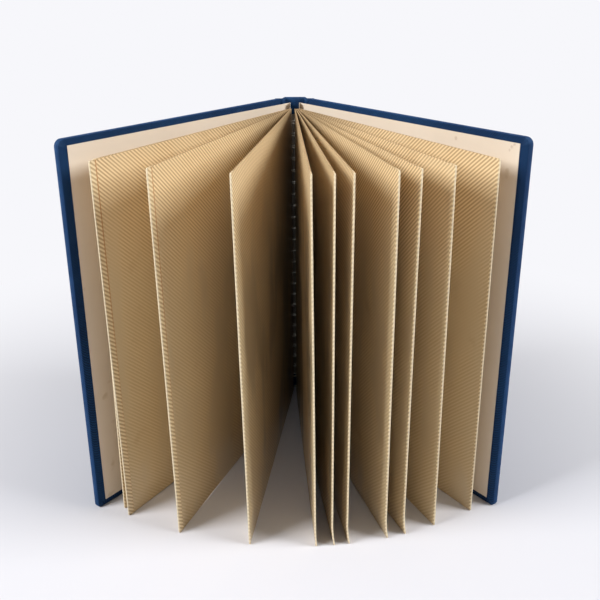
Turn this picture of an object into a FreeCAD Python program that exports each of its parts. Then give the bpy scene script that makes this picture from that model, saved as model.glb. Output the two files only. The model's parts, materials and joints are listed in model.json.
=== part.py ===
import FreeCAD, Part
import os
import Sketcher
from FreeCAD import Placement, Rotation, Vector

# A spiral-bound photo album in a padded cloth case, stood open on its foot.
# X runs along the spread from the front cover to the back cover, the spine is at the back and
# the leaves open towards -Y, and +Z is up. The origin is on the floor under the spine board.
# Each cover is drawn in its own frame: x from the end sheet's fold towards the fore-edge,
# y from the face that shows inside towards the cloth outside, z up from the foot.

SIZES = (
    ("cover_height", 292.0),    # head to foot of the case
    ("cover_reach", 252.5),     # end sheet's fold to the cover's fore-edge
    ("cover_angle", 36.7),      # each cover's swing from straight ahead, as it stands
    ("corner_round", 8.0),      # fore-edge corners of the covers
    ("board_thick", 2.2),
    ("padding_thick", 1.9),
    ("padding_round", 1.6),     # softened outer edge of the foam
    ("cloth_thick", 0.5),
    ("turn_in", 15.0),          # width of cloth turned over to the inside
    ("sheet_thick", 0.4),       # end sheets
    ("sheet_margin", 4.75),     # cloth left showing round an end sheet
    ("fold_half", 3.95),        # each end sheet's fold from the middle of the book
    ("fold_depth", 11.0),       # folds behind the coil's axis
    ("guard_length", 7.5),      # punched flange of an end sheet, forward of its fold
    ("joint_width", 14.0),      # flexible joint, from the fold to the edge of the board
    ("groove_start", 9.8),      # bottom of the joint's groove, from the fold
    ("groove_level", 1.4),      # groove's cloth above the end sheet's inner face
    ("joint_gap", 0.3),         # between the spine's cloth and a cover's cloth
    ("spine_half", 9.0),        # half the width of the spine board
    ("spine_thick", 1.8),
    ("spine_gap", 0.3),         # end sheet's fold to the spine
    ("coil_radius", 7.6),       # middle of the wire
    ("wire_radius", 0.6),
    ("coil_pitch", 10.95),
    ("coil_turns", 24.0),       # whole turns between the lowest and the highest hole
    ("coil_tail", 105.0),       # degrees that the wire runs on past its end holes
    ("hole_drop", 5.0),         # top hole below the head of the leaves
    ("hole_clear", 0.7),        # round the wire, in the leaves' holes
    ("guard_clear", 0.85),      # round the wire, in the guards' holes
    ("leaf_width", 241.3),      # from the coil's axis to the fore-edge
    ("leaf_height", 279.4),
    ("leaf_thick", 1.1),
    ("leaf_round", 4.0),        # fore-edge corners of the leaves
    ("leaf_one", -35.0),        # each leaf's swing from straight ahead, front to back
    ("leaf_two", -33.5),
    ("leaf_three", -22.1),
    ("leaf_four", -8.8),
    ("leaf_five", 3.0),
    ("leaf_six", 6.2),
    ("leaf_seven", 9.0),
    ("leaf_eight", 16.0),
    ("leaf_nine", 19.65),
    ("leaf_ten", 25.85),
    ("leaf_eleven", 34.7),
)
LEAVES = ["leaf_" + word for word in (
    "one", "two", "three", "four", "five", "six", "seven", "eight", "nine", "ten", "eleven")]
TINY = 1e-6

doc = FreeCAD.newDocument("open_book")
table = doc.addObject("Spreadsheet::Sheet", "Sizes")
for row, (alias, size) in enumerate(SIZES, start=1):
    table.set(f"A{row}", str(size))
    table.setAlias(f"A{row}", alias)
doc.recompute()


def named(formula):
    """Turns a formula on the sheet's aliases into an expression that objects can be bound to."""
    for alias, size in SIZES:
        formula = formula.replace(f"[{alias}]", f"Sizes.{alias}")
    return formula


# Levels and places that several pieces share
CLOTH_INSIDE = "([sheet_thick])"
BOARD_INSIDE = "([sheet_thick] + [cloth_thick])"
PADDING_INSIDE = f"({BOARD_INSIDE} + [board_thick])"
PADDING_OUTSIDE = f"({PADDING_INSIDE} + [padding_thick])"
CLOTH_MIDDLE = f"({PADDING_OUTSIDE} + [cloth_thick] / 2)"
CLOTH_OUTSIDE = f"({PADDING_OUTSIDE} + [cloth_thick])"
SPINE_FRONT = "(0 - [spine_thick] / 2)"
SPINE_BACK = "([spine_thick] / 2)"
LINING_FRONT = f"({SPINE_FRONT} - [cloth_thick])"
FOLD_Y = f"({LINING_FRONT} - [spine_gap] - [sheet_thick])"
AXIS_Y = f"({FOLD_Y} - [fold_depth])"
COIL_LOW = "([leaf_height] - [hole_drop] - [coil_turns] * [coil_pitch])"
HOLE_WIDE = "(2 * ([wire_radius] + [hole_clear]))"
GUARD_HOLE = "(2 * ([wire_radius] + [guard_clear]))"


def in_book(along, across):
    """Place in the book of a point in the back cover's frame, as two formulas."""
    x = f"([fold_half] + ({along}) * sin([cover_angle]) + ({across}) * cos([cover_angle]))"
    y = f"({FOLD_Y} - ({along}) * cos([cover_angle]) + ({across}) * sin([cover_angle]))"
    return x, y


def new_body(name):
    body = doc.addObject("PartDesign::Body", name)
    body.Label = name
    return body


def new_sketch(body, name, role, height=None, turn=None):
    """A sketch on one of its body's own planes, raised or turned about the upright axis."""
    sketch = body.newObject("Sketcher::SketchObject", name)
    plane = [f for f in body.Origin.OriginFeatures if f.Role == role][0]
    sketch.AttachmentSupport = [(plane, "")]
    sketch.MapMode = "FlatFace"
    if height:
        sketch.setExpression("AttachmentOffset.Base.z", named(height))
    if turn:
        sketch.AttachmentOffset = Placement(Vector(), Rotation(Vector(0, 1, 0), 1))
        sketch.setExpression("AttachmentOffset.Rotation.Angle", named(turn))
    return sketch


def draw(sketch, corners, closed=True):
    """Straight lines from corner to corner, each corner held at its two formulas."""
    places = [tuple(named(f) for f in corner) for corner in corners]
    points = [Vector(sketch.evalExpression(x), sketch.evalExpression(y), 0) for x, y in places]
    count = len(points) if closed else len(points) - 1
    for i in range(count):
        sketch.addGeometry(Part.LineSegment(points[i], points[(i + 1) % len(points)]))
    for i in range(count if closed else count - 1):
        sketch.addConstraint(Sketcher.Constraint("Coincident", i, 2, (i + 1) % count, 1))
    for i, (point, place) in enumerate(zip(points, places)):
        line, end = (i, 1) if i < count else (count - 1, 2)
        for kind, value, formula in zip(("DistanceX", "DistanceY"), point, place):
            held = sketch.addConstraint(Sketcher.Constraint(kind, line, end, value))
            sketch.setExpression(f"Constraints[{held}]", formula)


def rectangle(low_x, low_y, high_x, high_y):
    return [(low_x, low_y), (high_x, low_y), (high_x, high_y), (low_x, high_y)]


def pad(body, sketch, length, symmetric=False):
    feature = body.newObject("PartDesign::Pad", sketch.Name + "_pad")
    feature.Profile = sketch
    feature.setExpression("Length", named(length))
    if symmetric:
        feature.SideType = "Symmetric"
    return feature


def fillet(body, base, radius, chosen):
    """Rounds the edges of the feature for which chosen(edge) is true."""
    doc.recompute()
    names = [f"Edge{i}" for i, edge in enumerate(base.Shape.Edges, start=1) if chosen(edge)]
    feature = body.newObject("PartDesign::Fillet", base.Name + "_round")
    feature.Base = (base, names)
    feature.setExpression("Radius", named(radius))
    return feature


def repeat(body, feature, name, length, count):
    """Copies a cut up the body's upright axis."""
    pattern = body.newObject("PartDesign::LinearPattern", name)
    pattern.Originals = [feature]
    pattern.Direction = ([f for f in body.Origin.OriginFeatures if f.Role == "Z_Axis"][0], [""])
    pattern.setExpression("Length", named(length))
    pattern.setExpression("Occurrences", named(count))
    body.Tip = pattern
    return pattern


def slab(name, low, high, inset, outer_round=None):
    """A layer of a cover, from the joint to the fore-edge, with rounded fore-edge corners."""
    body = new_body(name)
    section = new_sketch(body, name + "_section", "XY_Plane", height=inset)
    draw(section, rectangle("[joint_width]", low, f"[cover_reach] - {inset}", high))
    block = pad(body, section, f"[cover_height] - 2 * {inset}")
    doc.recompute()
    fore_edge = block.Shape.BoundBox.XMax
    rounded = fillet(body, block, f"[corner_round] - {inset}", lambda e: all(
        abs(v.X - fore_edge) < TINY for v in e.Vertexes) and e.BoundBox.ZLength < TINY)
    if outer_round:
        doc.recompute()
        box = rounded.Shape.BoundBox
        fillet(body, rounded, outer_round, lambda e: e.BoundBox.YMin > box.YMax - TINY
               and e.BoundBox.XMax > box.XMin + TINY)
    doc.recompute()
    return body


def place(piece, flipped):
    """Swings a piece from its cover's frame into the book. The front cover is the back one
    turned upside down about the middle of the spread, since both are alike head and foot."""
    x, y = "[fold_half]", FOLD_Y
    if flipped:
        turn = "rotation(vector(sin([cover_angle] / 2 - 45); cos([cover_angle] / 2 - 45); 0); 180)"
        formula = f"placement(vector(0 - {x}; {y}; [cover_height]); {turn})"
    else:
        turn = "rotation(vector(0; 0; 1); [cover_angle] - 90)"
        formula = f"placement(vector({x}; {y}; 0); {turn})"
    piece.setExpression("Placement", named(formula))


def cover(side, flipped):
    """Board, padding, end sheet and wrapped cloth of one cover."""
    board = slab(side + "_board", BOARD_INSIDE, PADDING_INSIDE, "[cloth_thick]")
    padding = slab(side + "_padding", PADDING_INSIDE, PADDING_OUTSIDE, "[cloth_thick]",
                   outer_round="[padding_round]")
    envelope = slab(side + "_envelope", CLOTH_INSIDE, CLOTH_OUTSIDE, "0",
                    outer_round="[padding_round] + [cloth_thick]")
    opening = new_body(side + "_opening")
    window = new_sketch(opening, side + "_opening_section", "XY_Plane", height="[turn_in]")
    draw(window, rectangle("0", CLOTH_INSIDE, "[cover_reach] - [turn_in]", BOARD_INSIDE))
    pad(opening, window, "[cover_height] - 2 * [turn_in]")
    paper = end_sheet(side, flipped)
    for piece in (board, padding, envelope, opening, paper):
        place(piece, flipped)
    inside = doc.addObject("Part::MultiFuse", side + "_inside")
    inside.Shapes = [board, padding, opening]
    cloth = doc.addObject("Part::Cut", side + "_cover_cloth")
    cloth.Label = cloth.Name
    cloth.Base, cloth.Tool = envelope, inside
    return [board, padding, cloth, paper]


def end_sheet(side, flipped):
    """Cream card: the wide leaf pasted on the cover, a fold at the gutter, and a narrow
    guard that runs forward into the coil, punched with a hole for every turn."""
    half = "([sheet_thick] / 2)"
    sin, cos = "sin([cover_angle])", "cos([cover_angle])"
    fore_edge = "([cover_reach] - [sheet_margin])"
    body = new_body(side + "_end_sheet")
    section = new_sketch(body, side + "_end_sheet_section", "XY_Plane", height="[sheet_margin]")
    draw(section, [
        (fore_edge, "0"),
        (fore_edge, "[sheet_thick]"),
        ("0", "[sheet_thick]"),
        (f"0 - {half}", half),
        (f"0 - {half} * {sin}", f"{half} - {half} * {cos}"),
        (f"[guard_length] * {cos} - {half} * {sin}", f"{half} - {half} * {cos} - [guard_length] * {sin}"),
        (f"[guard_length] * {cos} + {half} * {sin}", f"{half} + {half} * {cos} - [guard_length] * {sin}"),
        (f"{half} * (1 + {cos}) / {sin}", "0"),
    ])
    pad(body, section, "[cover_height] - 2 * [sheet_margin]")
    guard_x = f"([fold_half] + {half} * {cos})"
    crossing = f"([fold_depth] + {half} * {sin} - sqrt([coil_radius] ^ 2 - {guard_x} ^ 2))"
    turn = f"(acos(0 - sqrt(1 - ({guard_x} / [coil_radius]) ^ 2)))"
    back_low = f"({COIL_LOW} + [coil_pitch] * {turn} / 360 deg)"
    front_high = f"({COIL_LOW} + [coil_pitch] * ([coil_turns] - {turn} / 360 deg))"
    low = f"([cover_height] - {front_high})" if flipped else back_low
    holes = new_sketch(body, side + "_guard_hole", "XY_Plane", height=f"{low} - {GUARD_HOLE} / 2")
    near, far = f"({crossing} - {GUARD_HOLE} / 2)", f"({crossing} + {GUARD_HOLE} / 2)"
    draw(holes, [(f"{along} * {cos} + {across} * {sin}", f"{half} - {along} * {sin} + {across} * {cos}")
                 for along, across in rectangle(near, "(0 - [sheet_thick])", far, "[sheet_thick]")])
    doc.recompute()
    cut = body.newObject("PartDesign::Pocket", side + "_guard_hole_cut")
    cut.Profile = holes
    cut.setExpression("Length", named(GUARD_HOLE))
    cut.Reversed = True
    repeat(body, cut, side + "_guard_holes", "([coil_turns] - 1) * [coil_pitch]", "[coil_turns]")
    return body


pieces = cover("back", flipped=False) + cover("front", flipped=True)

# The spine board is a plain strip of stiff card between the two flexible joints.
spine_board = new_body("spine_board")
strip = new_sketch(spine_board, "spine_board_section", "XY_Plane", height="[cloth_thick]")
draw(strip, rectangle("0 - [spine_half]", SPINE_FRONT, "[spine_half]", SPINE_BACK))
pad(spine_board, strip, "[cover_height] - 2 * [cloth_thick]")
pieces.append(spine_board)

# The spine's cloth lies on the board's back, dips into a groove at each joint and climbs to the
# edge of the cover's padding. At head and foot it is turned over the board's ends.
SPINE_EDGE = ("([spine_half] + [cloth_thick] / 2)", f"({SPINE_BACK} + [cloth_thick] / 2)")
GROOVE = in_book("[groove_start]", "[groove_level] + [cloth_thick] / 2")
SHOULDER = in_book("[joint_width] - [joint_gap] - 1.5 * [cloth_thick]", CLOTH_MIDDLE)
LAST = in_book("[joint_width] - [joint_gap]", CLOTH_MIDDLE)
half_line = [SPINE_EDGE, GROOVE, SHOULDER, LAST]
cloth_line = doc.addObject("Sketcher::SketchObject", "spine_cloth_line")
draw(cloth_line, [(f"0 - {x}", y) for x, y in reversed(half_line)] + half_line, closed=False)
cloth_band = doc.addObject("Part::Offset2D", "spine_cloth_band")
cloth_band.Source = cloth_line
cloth_band.setExpression("Value", named("[cloth_thick] / 2"))
cloth_band.Fill = True
cloth_sheet = doc.addObject("Part::Extrusion", "spine_cloth_sheet")
cloth_sheet.Base = cloth_band
cloth_sheet.DirMode = "Custom"
cloth_sheet.Dir = Vector(0, 0, 1)
cloth_sheet.Solid = True
cloth_sheet.setExpression("LengthFwd", named("[cover_height]"))
turned = [cloth_sheet]
for end, cap_z, flap_z in (
    ("foot", "0", "0"),
    ("head", "[cover_height] - [cloth_thick]", "[cover_height] - [turn_in]"),
):
    for part, deep, low_z, tall in (
        ("cap", "[spine_thick] + 1.5 * [cloth_thick]", cap_z, "[cloth_thick]"),
        ("flap", "[cloth_thick]", flap_z, "[turn_in]"),
    ):
        piece = doc.addObject("Part::Box", f"spine_{end}_{part}")
        for field, formula in (
            ("Length", "2 * [spine_half]"),
            ("Width", deep),
            ("Height", tall),
            ("Placement.Base.x", "0 - [spine_half]"),
            ("Placement.Base.y", LINING_FRONT),
            ("Placement.Base.z", low_z),
        ):
            piece.setExpression(field, named(formula))
        turned.append(piece)
spine_cloth = doc.addObject("Part::MultiFuse", "spine_cloth")
spine_cloth.Label = "spine_cloth"
spine_cloth.Shapes = turned
pieces.append(spine_cloth)

# The coil is one wire wound through the leaves and both guards. It is drawn in short straight
# steps with a six-sided section of the round wire's area, which keeps its faces few.
STEP_ANGLE = 30
SWEPT = int(table.coil_turns * 360 + 2 * table.coil_tail)
AREA_AS_ROUND = "sqrt(2 * pi / (3 * sqrt(3)))"
wire_line = doc.addObject("Part::Polygon", "wire_line")
wire_line.setExpression("Nodes", named("list(" + "; ".join(
    f"vector([coil_radius] * cos({angle}); [coil_radius] * sin({angle}); [coil_pitch] * {angle} / 360)"
    for angle in range(0, SWEPT + 1, STEP_ANGLE)) + ")"))
STEP_CHORD = f"(2 * [coil_radius] * sin({STEP_ANGLE / 2}))"
climb = f"atan([coil_pitch] * {STEP_ANGLE} / 360 / {STEP_CHORD})"
first_step = f"rotation(vector(0; 0; 1); {STEP_ANGLE / 2}) * rotation(vector(1; 0; 0); {climb} - 90 deg)"
wire_section = doc.addObject("Part::RegularPolygon", "wire_section")
wire_section.Polygon = 6
wire_section.setExpression("Circumradius", named(f"[wire_radius] * {AREA_AS_ROUND}"))
wire_section.setExpression("Placement", named(f"placement(vector([coil_radius]; 0; 0); {first_step})"))
binding_coil = doc.addObject("Part::Sweep", "binding_coil")
binding_coil.Label = "binding_coil"
binding_coil.Sections = [wire_section]
binding_coil.Spine = (wire_line, [])
binding_coil.Frenet = False
binding_coil.Transition = "Right corner"
binding_coil.Solid = True
COIL_START = f"{COIL_LOW} - [coil_pitch] * [coil_tail] / 360"
coil_turn = "rotation(vector(0; 0; 1); 0 - 90 - [coil_tail])"
binding_coil.setExpression("Placement", named(f"placement(vector(0; {AXIS_Y}; {COIL_START}); {coil_turn})"))
pieces.append(binding_coil)

# The leaves stand on the floor and fan out from the coil. Their bound edges press together,
# so the block is one solid, and a row of holes lets the wire through every leaf.
pages = new_body("pages")
for alias in LEAVES:
    leaf = new_sketch(pages, alias + "_outline", "XZ_Plane", turn=f"[{alias}] - 90")
    draw(leaf, rectangle("0", "0", "[leaf_width]", "[leaf_height]"))
    last_leaf = pad(pages, leaf, "[leaf_thick]", symmetric=True)
doc.recompute()
fillet(pages, last_leaf, "[leaf_round]", lambda e: e.BoundBox.ZLength < TINY and all(
    Vector(v.X, v.Y, 0).Length > table.leaf_width - TINY for v in e.Vertexes))
hole = new_sketch(pages, "leaf_hole_section", "XZ_Plane")
fan = "([coil_pitch] * ([leaf_eleven] - [leaf_one]) / 360)"
hole_tall = f"({fan} + {HOLE_WIDE})"
hole_low = f"({COIL_LOW} + [coil_pitch] * ([leaf_eleven] + [leaf_one]) / 720 - {hole_tall} / 2)"
draw(hole, rectangle(f"[coil_radius] - {HOLE_WIDE} / 2", hole_low,
                     f"[coil_radius] + {HOLE_WIDE} / 2", f"{hole_low} + {hole_tall}"))
doc.recompute()
groove = pages.newObject("PartDesign::Groove", "leaf_hole")
groove.Profile = hole
groove.ReferenceAxis = (hole, ["V_Axis"])
groove.Angle = 360
repeat(pages, groove, "leaf_holes", "[coil_turns] * [coil_pitch]", "[coil_turns] + 1")
pages.setExpression("Placement.Base.y", named(AXIS_Y))
pieces.append(pages)

doc.recompute()
failed = [o.Name for o in doc.Objects if "Invalid" in o.State or "Error" in o.State]
failed += [p.Label for p in pieces if p.Shape.isNull() or not p.Shape.isValid()]
if failed:
    raise SystemExit(f"these objects failed: {failed}")
os.makedirs("parts", exist_ok=True)
for piece in pieces:
    piece.Shape.exportStep(f"parts/{piece.Label}.step")
    print(f"{piece.Label}: {len(piece.Shape.Solids)} solid, {piece.Shape.Volume:.1f} mm3")
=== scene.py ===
import json
import math

import bmesh
import bpy
import numpy as np
from mathutils import Matrix, Vector

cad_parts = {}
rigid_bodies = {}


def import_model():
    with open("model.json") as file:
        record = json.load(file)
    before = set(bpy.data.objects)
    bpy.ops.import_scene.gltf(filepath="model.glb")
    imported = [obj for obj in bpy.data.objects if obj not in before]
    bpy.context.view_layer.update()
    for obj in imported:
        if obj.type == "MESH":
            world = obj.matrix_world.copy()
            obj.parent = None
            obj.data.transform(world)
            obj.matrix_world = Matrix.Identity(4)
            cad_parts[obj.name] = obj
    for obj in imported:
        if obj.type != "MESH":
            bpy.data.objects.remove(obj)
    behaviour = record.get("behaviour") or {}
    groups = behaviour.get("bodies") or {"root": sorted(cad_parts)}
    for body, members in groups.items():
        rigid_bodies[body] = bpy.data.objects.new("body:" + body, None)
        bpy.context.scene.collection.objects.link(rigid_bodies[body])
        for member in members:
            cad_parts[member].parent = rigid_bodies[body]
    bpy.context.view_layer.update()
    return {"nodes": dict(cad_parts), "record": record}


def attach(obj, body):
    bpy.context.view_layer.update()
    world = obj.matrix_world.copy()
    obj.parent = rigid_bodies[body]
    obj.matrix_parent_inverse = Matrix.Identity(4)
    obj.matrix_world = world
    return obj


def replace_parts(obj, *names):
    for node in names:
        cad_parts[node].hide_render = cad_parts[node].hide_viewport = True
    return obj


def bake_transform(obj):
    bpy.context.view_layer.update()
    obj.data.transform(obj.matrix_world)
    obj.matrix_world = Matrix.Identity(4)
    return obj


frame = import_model()

# A photo album stood open: a padded cloth case, two cream end sheets and eleven stiff leaves on a
# wire coil. Lengths are in metres and colours are written as screen values from 0 to 255. A piece's
# UV map is its own surface laid flat, in metres, so every pattern keeps its scale when a cover swings.

# Boards. Each cover is stiffened by a sheet of grey pulp board, and a narrow strip of the same board
# stiffens the spine. They are glued inside the cloth and lend the open album its stiffness.


class Value:
    """A number that varies over a surface. Arithmetic on it adds Math nodes."""

    def __init__(self, finish, socket):
        self.finish, self.socket = finish, socket

    def math(self, operation, *others):
        inputs = dict(enumerate((self, *others)))
        return self.finish.node("ShaderNodeMath", {"operation": operation}, inputs)[0]

    def __add__(self, other):
        return self.math("ADD", other)

    def __sub__(self, other):
        return self.math("SUBTRACT", other)

    def __rsub__(self, other):
        return self * -1.0 + other

    def __mul__(self, other):
        return self.math("MULTIPLY", other)

    __radd__, __rmul__ = __add__, __mul__

    def above(self, level, width):
        """0 below level and 1 past level + width, with a soft step between."""
        return self.finish.node("ShaderNodeMapRange", {"interpolation_type": "SMOOTHSTEP"}, {
            "Value": self, "From Min": level, "From Max": level + width})[0]


def tone(red, green, blue):
    """A screen colour, 0 to 255, as the light it stands for."""
    return tuple((c / 255 / 12.92 if c < 10.3 else ((c / 255 + 0.055) / 1.055) ** 2.4)
                 for c in (red, green, blue)) + (1.0,)


class Finish:
    """One material. What is the same all over is set on the shader's own sockets."""

    def __init__(self, name, **constants):
        self.material = bpy.data.materials.new(name)
        self.material.use_nodes = True
        self.tree = self.material.node_tree
        self.shader = self.tree.nodes["Principled BSDF"]
        for socket, value in constants.items():
            self.shader.inputs[socket.replace("_", " ")].default_value = value

    def node(self, kind, settings=None, inputs=None):
        made = self.tree.nodes.new(kind)
        for field, value in (settings or {}).items():
            setattr(made, field, value)
        for socket, value in (inputs or {}).items():
            if isinstance(value, Value):
                self.tree.links.new(value.socket, made.inputs[socket])
            else:
                made.inputs[socket].default_value = value
        outputs = {output.name: Value(self, output) for output in made.outputs}
        return outputs | {place: Value(self, output) for place, output in enumerate(made.outputs)}

    def mix(self, factor, first, second):
        return self.node("ShaderNodeMix", {"data_type": "RGBA"}, {0: factor, 6: first, 7: second})[2]

    def flat(self):
        """The surface laid flat: its two coordinates in millimetres, and the point itself, lifted
        by the piece's number so that no two pieces have the same stains."""
        lift_a_piece = 0.37
        point = self.node("ShaderNodeUVMap", {"uv_map": "laid_flat"})["UV"]
        split = self.node("ShaderNodeSeparateXYZ", None, {0: point})
        lift = self.node("ShaderNodeCombineXYZ", None, {
            "Z": self.node("ShaderNodeObjectInfo")["Object Index"] * lift_a_piece})["Vector"]
        lifted = self.node("ShaderNodeVectorMath", {"operation": "ADD"}, {0: point, 1: lift})[0]
        return split["X"] * 1000, split["Y"] * 1000, lifted

    def solid_point(self):
        return self.node("ShaderNodeTexCoord")["Object"]

    def noise(self, point, scale, detail=2.0, roughness=0.5):
        return self.node("ShaderNodeTexNoise", {"noise_dimensions": "3D"}, {
            "Vector": point, "Scale": scale, "Detail": detail, "Roughness": roughness})[0]

    def stretched(self, point, x, y, z=1.0):
        return self.node("ShaderNodeVectorMath", {"operation": "MULTIPLY"}, {0: point, 1: (x, y, z)})[0]

    def show(self, **sockets):
        """Links what varies to the shader."""
        for socket, value in sockets.items():
            self.tree.links.new(value.socket, self.shader.inputs[socket.replace("_", " ")])

    def bump(self, height, distance):
        """Raises the surface by height times distance, in metres."""
        raised = self.node("ShaderNodeBump", None, {"Height": height, "Distance": distance})
        self.show(Normal=raised["Normal"])


greyboard = Finish("greyboard", Roughness=0.9)
pulp = greyboard.noise(greyboard.solid_point(), 900, 4)
greyboard.show(Base_Color=greyboard.mix(pulp, tone(126, 121, 112), tone(172, 166, 154)))
greyboard.bump(pulp, 0.0001)
for name in ("front_board", "back_board", "spine_board"):
    frame["nodes"][name].data.materials.clear()
    frame["nodes"][name].data.materials.append(greyboard.material)

# Padding. A thin sheet of foam on the outside of each board makes the cover soft to hold and rounds
# its edges. It is cut to the board's outline and held by the cloth that is stretched over it.
COVER_SWING = math.radians(36.7)
FOLD_X, FOLD_Y = 0.00395, -0.0021
CASE_HEIGHT = frame["record"]["size"]["bbox_m"][2]
COVER_REACH = 0.2547
JOINT_WIDTH = 0.014
FOOT_CORNER, HEAD_CORNER = 0.0025, 0.0055
SHEET_THICK = 0.0004
CLOTH_THICK = 0.0005
PAD_INSIDE, PAD_OUTSIDE = 0.0031, 0.006
PAD_ROUND = 0.0016
SIDES = {"front": -1, "back": 1}


def on_cover(side, along, up, out):
    """A place in the album: along the cover from its fold, up from the foot, and out from the face
    that shows inside. side is -1 for the front cover and 1 for the back one."""
    x = FOLD_X + along * math.sin(COVER_SWING) + out * math.cos(COVER_SWING)
    y = FOLD_Y - along * math.cos(COVER_SWING) + out * math.sin(COVER_SWING)
    return side * x, y, up


def arc(centre, radius, first, last, steps):
    """Points on an arc, angles in degrees."""
    return [(centre[0] + radius * math.cos(a), centre[1] + radius * math.sin(a))
            for a in (math.radians(degrees) for degrees in np.linspace(first, last, steps + 1))]


def cover_outline(inset, corner_steps=10, straight_steps=12):
    """The foot, fore-edge and head of a cover, moved in by inset. Each point is (along, up) and the
    direction (along, up) that faces outward there."""
    least_round = 0.0002
    at_foot, at_head = (max(corner - inset, least_round) for corner in (FOOT_CORNER, HEAD_CORNER))
    right, low, high = COVER_REACH - inset, inset, CASE_HEIGHT - inset
    points = [(x, low, 0.0, -1.0) for x in np.linspace(JOINT_WIDTH, right - at_foot, straight_steps)]
    for radius, centre_up, first in ((at_foot, low + at_foot, -90), (at_head, high - at_head, 0)):
        for x, y in arc((0.0, 0.0), 1.0, first, first + 90, corner_steps):
            points.append((right - radius + x * radius, centre_up + y * radius, x, y))
    points += [(x, high, 0.0, 1.0) for x in np.linspace(right - at_head, JOINT_WIDTH, straight_steps)]
    return points


def make_mesh(name, points, faces, flat_places, edge_faces=(), sharp=35):
    """A smooth mesh with its laid-flat map. Faces from edge_faces on take the second material."""
    mesh = bpy.data.meshes.new(name)
    mesh.from_pydata([tuple(p) for p in points], [], [list(f) for f in list(faces) + list(edge_faces)])
    for face in mesh.polygons[len(faces):]:
        face.material_index = 1
    laid_flat = mesh.uv_layers.new(name="laid_flat")
    for loop in mesh.loops:
        laid_flat.data[loop.index].uv = flat_places[loop.vertex_index]
    work = bmesh.new()
    work.from_mesh(mesh)
    bmesh.ops.recalc_face_normals(work, faces=work.faces)
    work.to_mesh(mesh)
    work.free()
    mesh.polygons.foreach_set("use_smooth", [True] * len(mesh.polygons))
    mesh.set_sharp_from_angle(angle=math.radians(sharp))
    piece = bpy.data.objects.new(name, mesh)
    bpy.context.scene.collection.objects.link(piece)
    piece.pass_index = len(bpy.context.scene.objects)
    return piece


def rows_of_faces(rows, columns):
    """Four-sided faces between points that stand in rows, each row of the same length."""
    return [(r * columns + c, r * columns + c + 1, (r + 1) * columns + c + 1, (r + 1) * columns + c)
            for r in range(rows - 1) for c in range(columns - 1)]


def dress(piece, *finishes):
    """Gives a piece its finishes, first the one for its faces and then the one for its cut edges."""
    for finish in finishes:
        piece.data.materials.append(finish.material)
    return piece


foam = Finish("padding_foam", Roughness=1.0)
cells = foam.node("ShaderNodeTexVoronoi", None, {"Vector": foam.solid_point(), "Scale": 1600.0})["Distance"]
foam.show(Base_Color=foam.mix(cells, tone(232, 222, 196), tone(196, 184, 154)))
foam.bump(cells, 0.0002)

for side, sign in SIDES.items():
    profile = [(CLOTH_THICK, PAD_INSIDE)]
    profile += [(CLOTH_THICK + PAD_ROUND - x, PAD_OUTSIDE - PAD_ROUND + y)
                for x, y in arc((0.0, 0.0), PAD_ROUND, 0, 90, 6)]
    points, flat_places = [], []
    for inset, out in profile:
        for along, up, _, _ in cover_outline(inset):
            points.append(on_cover(sign, along, up, out))
            flat_places.append((along, up))
    columns = len(cover_outline(0))
    faces = rows_of_faces(len(profile), columns)
    faces += [(r * columns, (r + 1) * columns, (r + 2) * columns - 1, (r + 1) * columns - 1)
              for r in range(len(profile) - 1)]
    faces += [range(columns), range((len(profile) - 1) * columns, len(profile) * columns)]
    padding = dress(make_mesh(f"{side}_foam", points, faces, flat_places), foam)
    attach(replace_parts(padding, f"{side}_padding"), f"{side}_cover")

# Cover cloth. Navy book cloth, a close diagonal weave, is glued over each padded board and turned
# in round the head, fore-edge and foot. The end sheet is pasted down over the raw turn-ins.
TURN_IN = 0.015
CLOTH_OUTSIDE = PAD_OUTSIDE + CLOTH_THICK
EDGE_ROUND = PAD_ROUND + CLOTH_THICK
INNER_ROUND = 0.0006
FACE_RIM = 0.004
TURN_IN_ROWS = (0.002, 0.0035, 0.006, TURN_IN)


def shell(name, near, far, faces, flat_places):
    """A sheet with thickness: two surfaces with the same faces, joined round every free edge."""
    count = len(near)
    turned = [tuple(reversed([v + count for v in face])) for face in faces]
    sides = {}
    for face in faces:
        for first, second in zip(face, (*face[1:], face[0])):
            sides[(first, second)] = True
    rim = [(second, first, first + count, second + count)
           for first, second in sides if (second, first) not in sides]
    return make_mesh(name, [*near, *far], [*faces, *turned], [*flat_places, *flat_places], rim)


book_cloth = Finish("book_cloth", Roughness=0.85, Sheen_Weight=0.12, Sheen_Roughness=0.4,
                    Sheen_Tint=tone(110, 150, 220), Specular_IOR_Level=0.2)
across, upward, place = book_cloth.flat()
RIB_MM, THREAD_MM, WORN_MM = 1.5, 0.75, 3.0
uneven = book_cloth.noise(place, 120, 3)
rib = ((across + upward) * (2 * math.pi / RIB_MM / math.sqrt(2)) + uneven * 2.0).math("SINE")
crossing = ((across - upward) * (2 * math.pi / THREAD_MM / math.sqrt(2))).math("SINE")
weave = rib * 0.34 + crossing * 0.16 + 0.5
slub = book_cloth.noise(book_cloth.stretched(place, 1.0, 8.0), 300, 3)
fading = book_cloth.noise(place, 9, 5, 0.65)
rubbed = book_cloth.noise(place, 90, 5, 0.75)
beyond_fore_edge, beyond_head = across - COVER_REACH * 1000, upward - CASE_HEIGHT * 1000
fore_edge, foot_edge, head_edge = (1 - beyond.math("ABSOLUTE").above(0.8, WORN_MM)
                                   for beyond in (beyond_fore_edge, upward, beyond_head))
worn = fore_edge.math("MAXIMUM", foot_edge).math("MAXIMUM", head_edge) * rubbed.above(0.3, 0.45)
thread = book_cloth.mix(weave, tone(0, 10, 30), tone(22, 72, 122))
thread = book_cloth.mix(slub.above(0.5, 0.25) * 0.3, thread, tone(46, 92, 150))
thread = book_cloth.mix(fading.above(0.3, 0.45) * 0.6, thread, tone(3, 26, 60))
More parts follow.
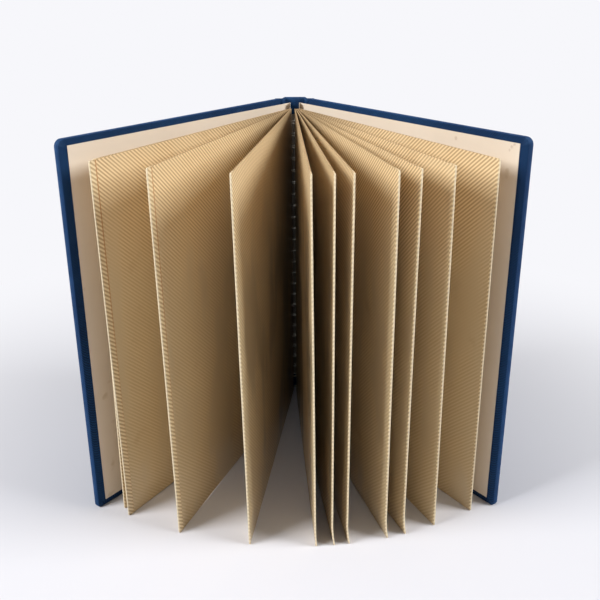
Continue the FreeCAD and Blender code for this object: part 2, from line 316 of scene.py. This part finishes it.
thread = book_cloth.mix(rubbed.above(0.6, 0.15) * 0.2, thread, tone(52, 92, 142))
thread = book_cloth.mix(worn * 0.4, thread, tone(70, 108, 156))
for beyond_end in (beyond_head, upward * -1.0):
    from_mitre = (beyond_fore_edge - beyond_end).math("ABSOLUTE")
    mitre = (1 - from_mitre.above(0.2, 0.5)) * beyond_fore_edge.above(6.0, 0.8)
    thread = book_cloth.mix(mitre * 0.85, thread, tone(2, 8, 24))
book_cloth.show(Base_Color=thread)
book_cloth.bump(weave + slub * 0.4, 0.0002)


def cloth_profile(thickness_in):
    """The cloth's line over a cover's edge, (inset, out), from the face outside to the turn-in's end."""
    least_round = 0.0001
    points = [(FACE_RIM, CLOTH_OUTSIDE - thickness_in)]
    points += [(EDGE_ROUND - x, CLOTH_OUTSIDE - EDGE_ROUND + y)
               for x, y in reversed(arc((0.0, 0.0), EDGE_ROUND - thickness_in, 0, 90, 7))]
    inner = max(INNER_ROUND - thickness_in, least_round)
    points += [(INNER_ROUND - x, SHEET_THICK + INNER_ROUND - y)
               for x, y in arc((0.0, 0.0), inner, 0, 90, 4)]
    points += [(x, SHEET_THICK + thickness_in) for x in TURN_IN_ROWS]
    return points


for side, sign in SIDES.items():
    columns = len(cover_outline(0))
    surfaces = []
    for thickness_in in (0.0, CLOTH_THICK):
        surfaces.append([on_cover(sign, along, up, out) for inset, out in cloth_profile(thickness_in)
                         for along, up, _, _ in cover_outline(inset)])
    flat_places, run, before = [], -FACE_RIM, cloth_profile(0.0)[0]
    for inset, out in cloth_profile(0.0):
        run += math.hypot(inset - before[0], out - before[1])
        before = (inset, out)
        flat_places += [(along + right * run, up + top * run)
                        for along, up, right, top in cover_outline(0)]
    rows = len(cloth_profile(0.0))
    faces = rows_of_faces(rows, columns) + [tuple(reversed(range(columns)))]
    cloth = dress(shell(f"{side}_cloth", *surfaces, faces, flat_places), book_cloth, book_cloth)
    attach(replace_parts(cloth, f"{side}_cover_cloth"), f"{side}_cover")

# Spine cloth. The same cloth runs over the spine board, down into a flexible joint on each side and
# up on to the covers. At head and foot it is turned in over the board's ends and doubled in the joints.
SPINE_HALF, SPINE_BACK = 0.009, 0.0009
GROOVE_ALONG, GROOVE_OUT = 0.0098, 0.0014
STEP_ALONG, LINING_STEP_ALONG = 0.01295, 0.0135
LINING_SHIFT = 0.0001
JOINT_ROUND, JOINT_SPACING = 0.0009, 0.0004
JOINT_BEND, BEND_OUT = (0.005, 0.0137), 0.0025
HALF_CLOTH = CLOTH_THICK / 2
SPINE_COLUMNS = 44
HEAD_ROUND = 0.0009


def eased(corners, radius, spacing, steps=5):
    """A line through the corners with each one rounded, and points about spacing apart."""
    corners = [np.array(c, float) for c in corners]
    points = [corners[0]]
    for before, corner, after in zip(corners, corners[1:], corners[2:]):
        start = corner + (before - corner) / np.linalg.norm(before - corner) * radius
        end = corner + (after - corner) / np.linalg.norm(after - corner) * radius
        count = max(int(np.linalg.norm(start - points[-1]) / spacing), 1)
        points += [points[-1] + (start - points[-1]) * t for t in np.linspace(0, 1, count + 1)[1:]]
        points += [start * (1 - t) ** 2 + corner * 2 * t * (1 - t) + end * t ** 2
                   for t in np.linspace(0, 1, steps + 1)[1:]]
    count = max(int(np.linalg.norm(corners[-1] - points[-1]) / spacing), 1)
    points += [points[-1] + (corners[-1] - points[-1]) * t for t in np.linspace(0, 1, count + 1)[1:]]
    return np.array(points)


def resampled(line, count):
    """The same line in count points spread by length."""
    runs = np.concatenate([[0], np.cumsum(np.linalg.norm(np.diff(line, axis=0), axis=1))])
    at = np.linspace(0, runs[-1], count)
    return np.stack([np.interp(at, runs, line[:, i]) for i in range(2)], axis=1)


def plan(along, out):
    """A place on the back cover seen from above, for lines that are mirrored for the front."""
    return on_cover(1, along, 0.0, out)[:2]


outer_line = resampled(eased([
    (0.0, SPINE_BACK + HALF_CLOTH), (SPINE_HALF + HALF_CLOTH, SPINE_BACK + HALF_CLOTH),
    plan(GROOVE_ALONG, GROOVE_OUT + HALF_CLOTH), plan(STEP_ALONG, PAD_OUTSIDE + HALF_CLOTH),
    plan(JOINT_WIDTH, PAD_OUTSIDE + HALF_CLOTH)], JOINT_ROUND, JOINT_SPACING), SPINE_COLUMNS)
lining_line = resampled(eased([
    (0.0, -SPINE_BACK - HALF_CLOTH), (SPINE_HALF, -SPINE_BACK - HALF_CLOTH),
    plan(GROOVE_ALONG - LINING_SHIFT, GROOVE_OUT - HALF_CLOTH),
    plan(LINING_STEP_ALONG, PAD_OUTSIDE - HALF_CLOTH),
    plan(JOINT_WIDTH, PAD_OUTSIDE - HALF_CLOTH)], JOINT_ROUND, JOINT_SPACING), SPINE_COLUMNS)


def outward(line):
    """The unit direction square to a line at each point, towards the back at its start."""
    slope = np.gradient(line, axis=0)
    slope /= np.linalg.norm(slope, axis=1)[:, None]
    return np.stack([-slope[:, 1], slope[:, 0]], axis=1)


def spine_surface(inside):
    """Rows of points from the foot's flap, under the foot, up the back and over the head to its flap."""
    outer = outer_line + outward(outer_line) * (HALF_CLOTH - inside)
    lining = lining_line - outward(lining_line) * (HALF_CLOTH - inside)
    centre, half = (outer + lining) / 2, (outer - lining) / 2
    rise = HEAD_ROUND - inside
    over = [(math.cos(a), math.sin(a)) for a in np.linspace(0, math.pi, 9)]
    head = [(centre + half * c, CASE_HEIGHT - HEAD_ROUND + rise * s) for c, s in over]
    back = [(outer, z) for z in np.linspace(HEAD_ROUND, CASE_HEIGHT - HEAD_ROUND, 12)[1:-1]]
    foot = [(plane, CASE_HEIGHT - z) for plane, z in reversed(head)]
    return [(lining, TURN_IN), *foot, *back, *head, (lining, CASE_HEIGHT - TURN_IN)]


for side, sign in SIDES.items():
    surfaces = [[(sign * x, y, z) for plane, z in spine_surface(inside) for x, y in plane]
                for inside in (0.0, CLOTH_THICK)]
    rows = [z for plane, z in spine_surface(0.0)]
    lengths = np.concatenate([[0], np.cumsum(np.linalg.norm(np.diff(outer_line, axis=0), axis=1))])
    flat_places = [(along, z) for z in rows for along in lengths]
    faces = rows_of_faces(len(rows), SPINE_COLUMNS)
    cloth = dress(shell(f"{side}_spine_cloth", *surfaces, faces, flat_places), book_cloth, book_cloth)
    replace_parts(cloth, "spine_cloth")
    still, swung = (on_cover(sign, along, 0, BEND_OUT) for along in JOINT_BEND)
    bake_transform(cloth)

# End sheets. Cream card: the wide part is pasted on the inside of the cover, and past a fold in the
# gutter a narrow guard runs forward into the book, punched so that the wire holds it.
AXIS_Y = -0.0131
COIL_RADIUS, COIL_PITCH, COIL_TURNS = 0.0076, 0.01095, 24
LEAF_HEIGHT, COIL_BELOW_HEAD = 0.2794, 0.005
COIL_LOW = LEAF_HEIGHT - COIL_BELOW_HEAD - COIL_TURNS * COIL_PITCH
SHEET_MARGIN, FORE_MARGIN = 0.00475, 0.00695
GUARD_LENGTH = 0.0075
FOLD_ROUND, FOLD_STEP = 0.0006, 0.0002
BEND_STEP, BEND_END, PASTED_FROM = 0.0008, 0.016, 0.02
SHEET_BEND = (0.004, 0.0145)
HOLE_RADIUS = 0.00135


def punched(columns, low, high, hole_at, hole_ups, extra_rows=()):
    """A flat sheet as points (along, up) and faces, with a row of round holes between its first two
    columns. columns are the places along the sheet."""
    edges = [low] + [(a + b) / 2 for a, b in zip(hole_ups, hole_ups[1:])] + [high]
    rows = sorted({*edges, *hole_ups, *extra_rows})
    points = [(along, up) for up in rows for along in columns]
    wide = len(columns)
    faces = [face for face in rows_of_faces(len(rows), wide) if face[0] % wide != 0]
    for hole_up, bottom, top in zip(hole_ups, edges, edges[1:]):
        inside = [i for i, up in enumerate(rows) if bottom <= up <= top]
        middle = len(points)
        points += [(hole_at, bottom), (hole_at, top)]
        start = len(points)
        points += arc((hole_at, hole_up), HOLE_RADIUS, -90, 90, 5)
        points += arc((hole_at, hole_up), HOLE_RADIUS, 90, 270, 5)[1:-1]
        far_side, near_side = range(start, start + 6), [*range(start + 5, start + 10), start]
        faces.append([middle, *[i * wide + 1 for i in inside], middle + 1, *reversed(far_side)])
        faces.append([middle + 1, *[i * wide for i in reversed(inside)], middle, *reversed(near_side)])
    merged, keep, new_place = {}, [], []
    for along, up in points:
        key = (round(along, 7), round(up, 7))
        if key not in merged:
            merged[key] = len(keep)
            keep.append((along, up))
        new_place.append(merged[key])
    return keep, [[new_place[v] for v in face] for face in faces]


def follow(line, lengths, along):
    """What a line holds at a length along it."""
    return np.array([np.interp(along, lengths, line[:, i]) for i in range(2)])


cream_card = Finish("cream_card", Roughness=0.72, Specular_IOR_Level=0.3)
across, upward, place = cream_card.flat()
mottle = cream_card.noise(place, 22, 5, 0.6)
fibre = cream_card.noise(cream_card.stretched(place, 3.0, 1.0), 700, 3)
paper = cream_card.mix(mottle, tone(228, 212, 192), tone(238, 225, 208))
foxing = cream_card.noise(place, 60, 2).above(0.68, 0.08)
paper = cream_card.mix(foxing * 0.35, paper, tone(186, 160, 118))
SPOTS_MM = (
    # across, up and radius: one spot at the back sheet's head, and three that make a scuff at its corner
    (197, 282.6, 1.6), (250, 286, 1.1), (248, 284, 1.3), (246.3, 281.8, 1))
for mark_across, mark_up, size in SPOTS_MM:
    aside, above = across - mark_across, upward - mark_up
    from_mark = (aside * aside + above * above).math("SQRT") + (fibre - 0.5) * 3.0
    mark = 1 - from_mark.above(size * 0.3, size)
    paper = cream_card.mix(mark * 0.35, paper, tone(168, 138, 112))
cream_card.show(Base_Color=paper)
cream_card.bump(fibre, 0.00003)

half_sheet = SHEET_THICK / 2
guard_x = FOLD_X + half_sheet * math.cos(COVER_SWING)
guard_line = eased([plan(COVER_REACH - FORE_MARGIN, half_sheet), plan(0.0, half_sheet),
                    (guard_x, plan(0.0, half_sheet)[1] - GUARD_LENGTH)], FOLD_ROUND, 0.001)[::-1]
guard_runs = np.concatenate([[0], np.cumsum(np.linalg.norm(np.diff(guard_line, axis=0), axis=1))])
guard_out = outward(guard_line)
wire_y = AXIS_Y + math.sqrt(COIL_RADIUS ** 2 - guard_x ** 2)
hole_along = wire_y - guard_line[0][1]
wire_turn = math.degrees(math.atan2(guard_x, AXIS_Y - wire_y)) / 360

for side, sign in SIDES.items():
    first_hole = COIL_LOW + COIL_PITCH * (wire_turn if sign > 0 else 1 - wire_turn)
    hole_ups = [first_hole + k * COIL_PITCH for k in range(COIL_TURNS)]
    fold = np.arange(GUARD_LENGTH - 2 * FOLD_STEP, GUARD_LENGTH + 3.5 * FOLD_STEP, FOLD_STEP)
    bend = np.arange(GUARD_LENGTH + BEND_STEP, GUARD_LENGTH + BEND_END, BEND_STEP)
    pasted = np.linspace(GUARD_LENGTH + PASTED_FROM, guard_runs[-1], 10)
    columns = [0.0, GUARD_LENGTH - FOLD_ROUND, *fold, *bend, *pasted]
    flat_places, faces = punched(columns, SHEET_MARGIN, CASE_HEIGHT - SHEET_MARGIN, hole_along, hole_ups)
    near, far = [], []
    for along, up in flat_places:
        x, y = follow(guard_line, guard_runs, along)
        right, back = follow(guard_out, guard_runs, along)
        near.append((sign * (x + right * half_sheet), y + back * half_sheet, up))
        far.append((sign * (x - right * half_sheet), y - back * half_sheet, up))
    own_way = [(sign * along, up) for along, up in flat_places]
    sheet = dress(shell(f"{side}_end_paper", near, far, faces, own_way), cream_card, cream_card)
    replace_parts(sheet, f"{side}_end_sheet")
    still, swung = (on_cover(sign, along, 0, BEND_OUT) for along in SHEET_BEND)
    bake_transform(sheet)

# Binding wire. One long coil of plated steel wire is wound through the holes of both guards and of
# every leaf. Its two ends are cut off and bent in, so that it can't wind itself out.
WIRE_RADIUS = 0.0006
COIL_TAIL = 105
STEPS_A_TURN, WIRE_SIDES = 24, 8
TAIL_BEND = ((0.0009, 0.0005), (0.0014, 0.0014), (0.0015, 0.0032))
wire_steel = Finish("coil_wire", Metallic=1.0, Roughness=0.32)
tarnish = wire_steel.noise(wire_steel.solid_point(), 180, 3)
wire_steel.show(Base_Color=wire_steel.mix(tarnish, tone(214, 212, 205), tone(160, 154, 142)),
                Roughness=tarnish * 0.3 + 0.2)
turns = np.radians(np.arange(-COIL_TAIL, COIL_TURNS * 360 + COIL_TAIL + 1, 360 / STEPS_A_TURN))
wire_line = [(COIL_RADIUS * math.sin(a), AXIS_Y - COIL_RADIUS * math.cos(a),
              COIL_LOW + COIL_PITCH * a / (2 * math.pi)) for a in turns]
for end, beside in ((0, 1), (-1, -2)):
    tip, last = np.array(wire_line[end]), np.array(wire_line[beside])
    inward = np.array([-tip[0], AXIS_Y - tip[1], 0.0]) / COIL_RADIUS
    ahead = (tip - last) / np.linalg.norm(tip - last)
    bent = [tuple(tip + ahead * further + inward * deeper) for further, deeper in TAIL_BEND]
    wire_line = [*reversed(bent), *wire_line] if end == 0 else [*wire_line, *bent]
wire_line = np.array(wire_line)
forward = np.gradient(wire_line, axis=0)
forward /= np.linalg.norm(forward, axis=1)[:, None]
points, flat_places = [], []
for place, ahead in zip(wire_line, forward):
    level = np.cross(ahead, (0, 0, 1))
    level /= np.linalg.norm(level)
    over = np.cross(level, ahead)
    for k in range(WIRE_SIDES):
        a = 2 * math.pi * k / WIRE_SIDES
        points.append(place + WIRE_RADIUS * (level * math.cos(a) + over * math.sin(a)))
        flat_places.append((WIRE_RADIUS * a, place[2]))
faces = [(r * WIRE_SIDES + k, r * WIRE_SIDES + (k + 1) % WIRE_SIDES,
          (r + 1) * WIRE_SIDES + (k + 1) % WIRE_SIDES, (r + 1) * WIRE_SIDES + k)
         for r in range(len(wire_line) - 1) for k in range(WIRE_SIDES)]
faces += [range(WIRE_SIDES), range(len(points) - WIRE_SIDES, len(points))]
wire = dress(make_mesh("wire_coil", points, faces, flat_places, sharp=50), wire_steel)
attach(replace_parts(wire, "binding_coil"), "spine")

# Leaves. Each is stiff card with diagonal lines of adhesive on both faces under a clear film, whose
# end is folded round the fore-edge. They fan out from the wire and stand on their feet.
LEAF_WIDTH, LEAF_THICK = 0.2413, 0.0009
ROOT_THICK, ROOT_END = 0.0006, 0.0125
BOUND_MARGIN = 0.0032
LEAF_COLUMNS = (0.012, 0.02, 0.04, 0.08, 0.12, 0.15, 0.17, 0.19, 0.21, 0.225)
LEAF_ROUND = 0.0012
TRIM_FROM = 0.21
KINK_HEIGHT, KINK_FROM, KINK_RUN = 0.015, 0.15, 0.09
ROOT_RISE = 0.0046
FILM_FOLD, FILM_MIDDLE, FILM_BACK = 0.0054, 0.003, 0.0012
FILM_THICK, FILM_GAP, FILM_SHORT = 0.00012, 0.00003, 0.0003
CLOSED_ANGLE = 36.7
LEAF_FAN = (
    # name, place on the wire, swing at the head, at the foot and when closed, sideways kink at the foot,
    # how far the fore-edge stands back, and the face that the film's end is folded on to
    ("leaf_one", -52, -34.5, -35.16, -1.5, 0.0, 0.0046, -1),
    ("leaf_two", -44, -34.12, -32.89, -1.2, 0.0, 0.0, 1),
    ("leaf_three", -36, -22.79, -21.53, -0.9, 0.0, 0.0, 1),
    ("leaf_four", -28, -9.32, -8.22, -0.6, 0.0, 0.0, -1),
    ("leaf_five", 2, 2.58, 3.42, -0.3, 0.0006, 0.0, 1),
    ("leaf_six", 10, 6.07, 6.38, 0.0, 0.0016, 0.0, 1),
    ("leaf_seven", 18, 9.0, 9.04, 0.3, 0.0016, 0.0, 1),
    ("leaf_eight", 26, 15.94, 16.13, 0.6, 0.0016, 0.0, 1),
    ("leaf_nine", 34, 19.68, 19.62, 0.9, 0.0016, 0.0, 1),
    ("leaf_ten", 42, 25.58, 26.1, 1.2, 0.0, 0.0, 1),
    ("leaf_eleven", 50, 34.56, 34.77, 1.5, 0.0, 0.0, 1),
)


def risen(along):
    """A leaf's foot rests on the table at the fore-edge, and the wire holds it up at the gutter."""
    return ROOT_RISE * (1 - along / LEAF_WIDTH)


def leaf_place(root_angle, head_swing, foot_swing, kink):
    """Returns the function that puts a point of the leaf, laid flat, in the album. The leaf hangs on
    the wire at root_angle, and is twisted a little where its head and foot swing differently."""
    root = COIL_RADIUS * np.array([math.sin(root_angle), -math.cos(root_angle)])

    def place(along, up, off):
        swing = math.radians(foot_swing + (head_swing - foot_swing) * up / LEAF_HEIGHT)
        tip = LEAF_WIDTH * np.array([math.sin(swing), -math.cos(swing)])
        ahead = (tip - root) / np.linalg.norm(tip - root)
        x, y = root + ahead * (along - COIL_RADIUS)
        low = max(0.0, 1 - up / KINK_HEIGHT)
        x += kink * low ** 1.5 * min(max((along - KINK_FROM) / KINK_RUN, 0.0), 1.0)
        return x - ahead[1] * off, AXIS_Y + y + ahead[0] * off, up + risen(along)

    return place


def cut_back(along, up, set_back):
    """The leaf's rounded corners, and its narrower width where the fore-edge stands back."""
    from_end = min(up, LEAF_HEIGHT - up)
    cut = set_back
    if from_end < LEAF_ROUND:
        cut += LEAF_ROUND - math.sqrt(LEAF_ROUND ** 2 - (LEAF_ROUND - from_end) ** 2)
    return along - cut * max(along - TRIM_FROM, 0.0) / (LEAF_WIDTH - TRIM_FROM)


leaf_face = Finish("leaf_face", Specular_IOR_Level=0.4, Coat_Roughness=0.2)
across, upward, place = leaf_face.flat()
LINE_PITCH, LINE_TILT = 2.32, math.radians(41.8)
wander = leaf_face.noise(place, 30, 2)
lines = ((upward * math.cos(LINE_TILT) - across * math.sin(LINE_TILT)) * (2 * math.pi / LINE_PITCH)
         + wander * 0.7).math("SINE")
ridge = lines.above(-0.5, 1.0)
ageing = leaf_face.noise(place, 9, 4, 0.6)
# Painted light: the upper part of each leaf is painted lighter, and its adhesive lines stronger, standing
# in for the light that falls over the leaf tops.
painted_light_at_head = upward.above(170, 100)
loose_film = leaf_face.noise(leaf_face.stretched(place, 2.6, 0.9), 11, 3).above(0.46, 0.16)
loose_film = loose_film * (1 - painted_light_at_head * 0.8)
# How strongly the adhesive lines show: where the film is stuck down, and more towards the head as painted
# light.
stuck_lines_with_painted_light = (painted_light_at_head * 0.42 + 0.28) * (1 - loose_film * 0.75)
card = leaf_face.mix(ageing, tone(206, 182, 140), tone(222, 203, 166))
# Painted light: the card is lighter towards the head.
card = leaf_face.mix(painted_light_at_head, card, leaf_face.mix(ageing, tone(232, 206, 160), tone(244, 221, 180)))
card = leaf_face.mix(ridge * stuck_lines_with_painted_light, card, tone(156, 120, 76))
card = leaf_face.mix(loose_film * 0.35, card, tone(196, 176, 144))
# Painted shade: the card is darkened towards the wire, standing in for the shade deep in the gutter between
# the leaves.
painted_gutter_shade = (1 - across.above(8, 120)) * 0.6
card = leaf_face.mix(painted_gutter_shade, card, tone(112, 84, 50))
grime = leaf_face.noise(place, 45, 3).above(0.62, 0.2)
card = leaf_face.mix(grime * 0.25, card, tone(170, 134, 88))
leaf_face.show(Base_Color=card, Roughness=0.5 - loose_film * 0.15, Coat_Weight=0.3 + loose_film * 0.6)
leaf_face.bump(ridge * (1 - loose_film * 0.7), 0.00005)

leaf_edge = Finish("leaf_edge", Roughness=0.85)
across, _, place = leaf_edge.flat()
nap = leaf_edge.noise(place, 500, 3)
fore_edge = across.above(LEAF_WIDTH * 1000 - 6, 1.0)
trimmed = leaf_edge.mix(nap, tone(150, 120, 82), tone(184, 154, 112))
wrapped = leaf_edge.mix(nap, tone(196, 170, 128), tone(222, 200, 162))
leaf_edge.show(Base_Color=leaf_edge.mix(fore_edge, trimmed, wrapped))

film_end = Finish("film_end", Specular_IOR_Level=0.5)
across, upward, place = film_end.flat()
pleats = ((upward * 0.72 - across * 0.55) * (2 * math.pi / LINE_PITCH)).math("SINE").above(-0.6, 1.2)
scuffed = film_end.noise(place, 90, 4)
border = 1 - across.above(LEAF_WIDTH * 1000 - 5.0, 0.9)
film = film_end.mix(pleats * 0.65, tone(236, 216, 176), tone(160, 124, 78))
film = film_end.mix(border * (upward.above(60, 190) * 0.65 + 0.2), film, tone(178, 116, 52))
film = film_end.mix(across.above(LEAF_WIDTH * 1000 - 0.1, 0.2) * 0.7, film, tone(240, 226, 194))
film_end.show(Base_Color=film, Roughness=0.3 + scuffed * 0.3)
film_end.bump(pleats + scuffed, 0.00005)

for name, root_degrees, head_swing, foot_swing, closed_swing, kink, set_back, film_face in LEAF_FAN:
    first_hole = COIL_LOW + COIL_PITCH * root_degrees / 360 - risen(COIL_RADIUS)
    hole_ups = [first_hole + k * COIL_PITCH for k in range(COIL_TURNS + 1)]
    corner_rows = [LEAF_ROUND * (1 - math.cos(math.radians(a))) for a in (0, 22, 45, 67, 90)]
    head_rows = [LEAF_HEIGHT - row for row in reversed(corner_rows)]
    up_rows = [*corner_rows, KINK_HEIGHT / 2, KINK_HEIGHT, *head_rows]
    columns = [COIL_RADIUS - BOUND_MARGIN, *LEAF_COLUMNS,
               *[LEAF_WIDTH - LEAF_ROUND * (1 - math.sin(math.radians(a))) for a in (0, 30, 60, 90)]]
    flat_places, faces = punched(columns, 0.0, LEAF_HEIGHT, COIL_RADIUS, hole_ups, extra_rows=up_rows)
    put = leaf_place(math.radians(root_degrees), head_swing, foot_swing, kink)

    near, far = [], []
    for along, up in flat_places:
        half = (ROOT_THICK if along < ROOT_END else LEAF_THICK) / 2
        near.append(put(cut_back(along, up, set_back), up, half))
        far.append(put(cut_back(along, up, set_back), up, -half))
    leaf = dress(shell(name, near, far, faces, flat_places), leaf_face, leaf_edge)

    face_out = LEAF_THICK / 2 + FILM_GAP
    fold = [(LEAF_WIDTH - back, face_out) for back in (FILM_FOLD, FILM_MIDDLE, 0.0)]
    fold += [(LEAF_WIDTH + x, y) for x, y in arc((0.0, 0.0), face_out, 60, -60, 4)]
    fold += [(LEAF_WIDTH - FILM_BACK, -face_out)]
    film_rows = [FILM_SHORT, *up_rows[1:-1], LEAF_HEIGHT - FILM_SHORT]
    surfaces = []
    for lift in (0.0, FILM_THICK):
        line = np.array(fold)
        line = line + outward(line) * lift
        surfaces.append([put(cut_back(along, up, set_back), up, off * film_face)
                         for up in film_rows for along, off in line])
    on_film = [(along, up) for up in film_rows for along, off in fold]
    film = dress(shell(f"{name}_film", *surfaces, rows_of_faces(len(film_rows), len(fold)), on_film),
                 film_end, film_end)

    swing = (head_swing + foot_swing) / 2
    side = "front" if swing < 0 else "back"
    share = min(max((swing - closed_swing) / (SIDES[side] * CLOSED_ANGLE), 0.0), 1.0)
    eased_share = 0.5 - math.sin(math.asin(1 - 2 * share) / 3)
    middle = Vector(put(0.12, LEAF_HEIGHT / 2, 0.0))
    for piece in (leaf, film):
        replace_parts(piece, "pages")
        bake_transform(piece)

# Studio. A pale table that melts into a white background, a large soft light on each side and a
# weak one overhead, and the camera at the photograph's height and angle.
FLOOR_HALF = 6.0
BOOK_CENTRE, MELT_FROM, MELT_WIDTH = (0.0, -0.15, 0.0), 0.16, 0.45
BACKGROUND = tone(247, 247, 251)
SKY_LIGHT = 0.03


def seen_directly(tree):
    """1 for what the camera, a reflection or clear material sees, and 0 for light that falls on things."""
    rays = tree.nodes.new("ShaderNodeLightPath")
    total = rays.outputs["Is Camera Ray"]
    for name in ("Is Glossy Ray", "Is Transmission Ray"):
        both = tree.nodes.new("ShaderNodeMath")
        both.operation = "MAXIMUM"
        tree.links.new(total, both.inputs[0])
        tree.links.new(rays.outputs[name], both.inputs[1])
        total = both.outputs[0]
    return total


floor_mesh = bpy.data.meshes.new("floor")
floor_corners = [(x * FLOOR_HALF, y * FLOOR_HALF, 0) for x, y in ((-1, -1), (1, -1), (1, 1), (-1, 1))]
floor_mesh.from_pydata(floor_corners, [], [(0, 1, 2, 3)])
floor = bpy.data.objects.new("floor", floor_mesh)
bpy.context.scene.collection.objects.link(floor)
floor_card = Finish("floor_card", Roughness=0.9, Specular_IOR_Level=0.1, Base_Color=tone(222, 222, 228))
dress(floor, floor_card)
from_book = floor_card.node("ShaderNodeVectorMath", {"operation": "DISTANCE"}, {
    0: floor_card.solid_point(), 1: BOOK_CENTRE})["Value"]
fade = from_book.above(MELT_FROM, MELT_WIDTH) * Value(floor_card, seen_directly(floor_card.tree))
plain = floor_card.node("ShaderNodeEmission", None, {"Color": BACKGROUND})[0]
melted = floor_card.node("ShaderNodeMixShader", None, {
    0: fade, 1: Value(floor_card, floor_card.shader.outputs[0]), 2: plain})[0]
floor_card.tree.links.new(melted.socket, floor_card.tree.nodes["Material Output"].inputs["Surface"])

world = bpy.data.worlds.new("studio")
bpy.context.scene.world = world
world.use_nodes = True
sky = world.node_tree.nodes["Background"]
sky.inputs["Color"].default_value = BACKGROUND
brightness = world.node_tree.nodes.new("ShaderNodeMapRange")
brightness.inputs["To Min"].default_value = SKY_LIGHT
world.node_tree.links.new(seen_directly(world.node_tree), brightness.inputs["Value"])
world.node_tree.links.new(brightness.outputs[0], sky.inputs["Strength"])


def soft_light(name, place, aim, size, power):
    """A square lamp at place that points at aim, size metres wide and of power watts."""
    lamp = bpy.data.lights.new(name, "AREA")
    lamp.shape = "RECTANGLE"
    lamp.size = lamp.size_y = size
    lamp.energy = power
    holder = bpy.data.objects.new(name, lamp)
    holder.location = place
    holder.rotation_euler = (Vector(aim) - Vector(place)).to_track_quat("-Z", "Y").to_euler()
    bpy.context.scene.collection.objects.link(holder)


LEAF_MIDDLE = (0.0, -0.1, 0.15)
soft_light("left", (-1.35, -0.75, 1.1), LEAF_MIDDLE, 0.8, 32)
soft_light("right", (1.45, -0.5, 1.1), LEAF_MIDDLE, 0.8, 28)
soft_light("overhead", (0.0, -0.2, 1.6), (0.0, -0.1, 0.0), 0.7, 4)

FOCAL_PX, FRAME_PX, SENSOR_MM = 811.19, 600, 36.0
CAMERA_PLACE = Vector((0.0031, -0.7451, 0.391))
PITCH_DOWN, YAW, ROLL = (math.radians(a) for a in (21.6285, 0.0674, -0.2378))
level_look = Vector((math.sin(YAW), math.cos(YAW), 0.0))
look = level_look * math.cos(PITCH_DOWN) - Vector((0.0, 0.0, math.sin(PITCH_DOWN)))
level_right = Vector((math.cos(YAW), -math.sin(YAW), 0.0))
level_up = level_right.cross(look)
right = level_right * math.cos(ROLL) + level_up * math.sin(ROLL)
up = level_up * math.cos(ROLL) - level_right * math.sin(ROLL)
lens = bpy.data.cameras.new("camera")
lens.sensor_width = SENSOR_MM
lens.lens = FOCAL_PX / FRAME_PX * SENSOR_MM
camera = bpy.data.objects.new("camera", lens)
camera.matrix_world = Matrix((right, up, -look)).transposed().to_4x4()
camera.location = CAMERA_PLACE
bpy.context.scene.collection.objects.link(camera)
bpy.context.scene.camera = camera
bpy.context.scene.view_settings.view_transform = "Standard"
